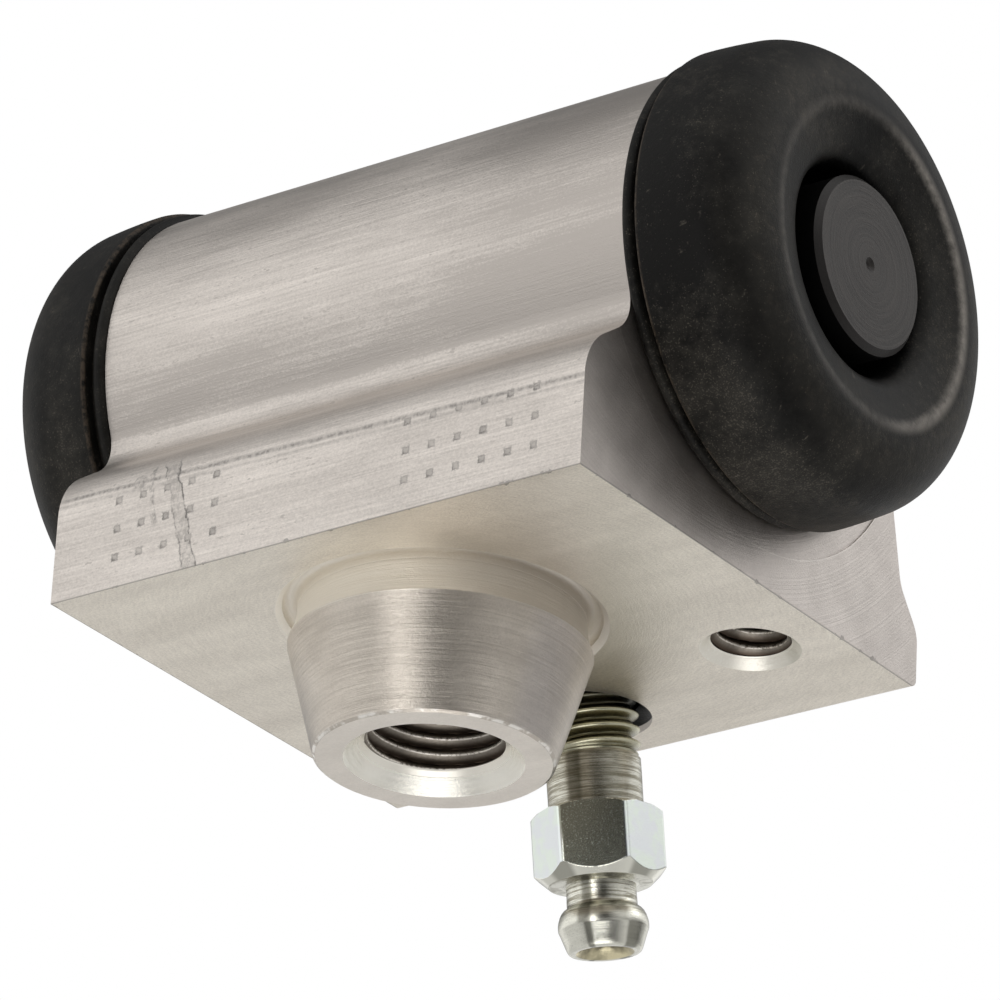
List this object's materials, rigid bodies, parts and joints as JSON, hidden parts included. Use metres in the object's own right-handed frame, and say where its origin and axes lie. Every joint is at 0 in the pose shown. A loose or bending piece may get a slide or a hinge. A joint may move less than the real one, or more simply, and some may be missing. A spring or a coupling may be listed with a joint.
{
  "type": "wheel cylinder",
  "caption": "Hydraulic brake wheel cylinder with opposed pistons, cup seals, a return spring, rubber dust boots, a threaded inlet boss and a leaning bleeder screw.",
  "frame": {"origin": "where the axis of the inlet boss meets the mounting face, in the plane midway between the two ends of the bore", "axes": "+X along the bore towards the right-hand piston, +Y towards the bleeder screw and the mounting holes, +Z from the mounting face towards the bore, so the boss and the bleeder point down"},
  "size_m": [0.0544, 0.0349, 0.0478],
  "materials": {
    "body_aluminium": "sawn and turned bare aluminium, satin",
    "piston_dark": "dark anodised, turned rings on the nose",
    "boot_rubber": "moulded, satin",
    "seal_rubber": "moulded, matt",
    "expander_steel": "pressed steel, satin",
    "spring_steel": "drawn steel wire",
    "bleeder_zinc": "bright zinc plate with a faint yellow tint"
  },
  "bodies": {
    "cylinder": {"cylinder_body": "body_aluminium", "return_spring": "spring_steel", "left_dust_boot": "boot_rubber", "right_dust_boot": "boot_rubber"},
    "left_piston": {"left_piston": "piston_dark", "left_cup_seal": "seal_rubber", "left_cup_expander": "expander_steel"},
    "right_piston": {"right_piston": "piston_dark", "right_cup_seal": "seal_rubber", "right_cup_expander": "expander_steel"},
    "bleeder": {"bleeder_screw": "bleeder_zinc"}
  },
  "joints": [
    {"name": "left_piston_slide", "type": "slide", "parent": "cylinder", "child": "left_piston", "axis": [-1, 0, 0], "range_m": [-0.0015, 0.004], "deforming": ["return_spring", "left_dust_boot"]},
    {"name": "right_piston_slide", "type": "slide", "parent": "cylinder", "child": "right_piston", "axis": [1, 0, 0], "range_m": [-0.0015, 0.004], "deforming": ["return_spring", "right_dust_boot"]},
    {"name": "bleeder_turn", "type": "hinge", "parent": "cylinder", "child": "bleeder", "pos_m": [0, 0.01516, 0], "axis": [0, 0.184, -0.9829], "range_deg": [0, 360]}
  ]
}
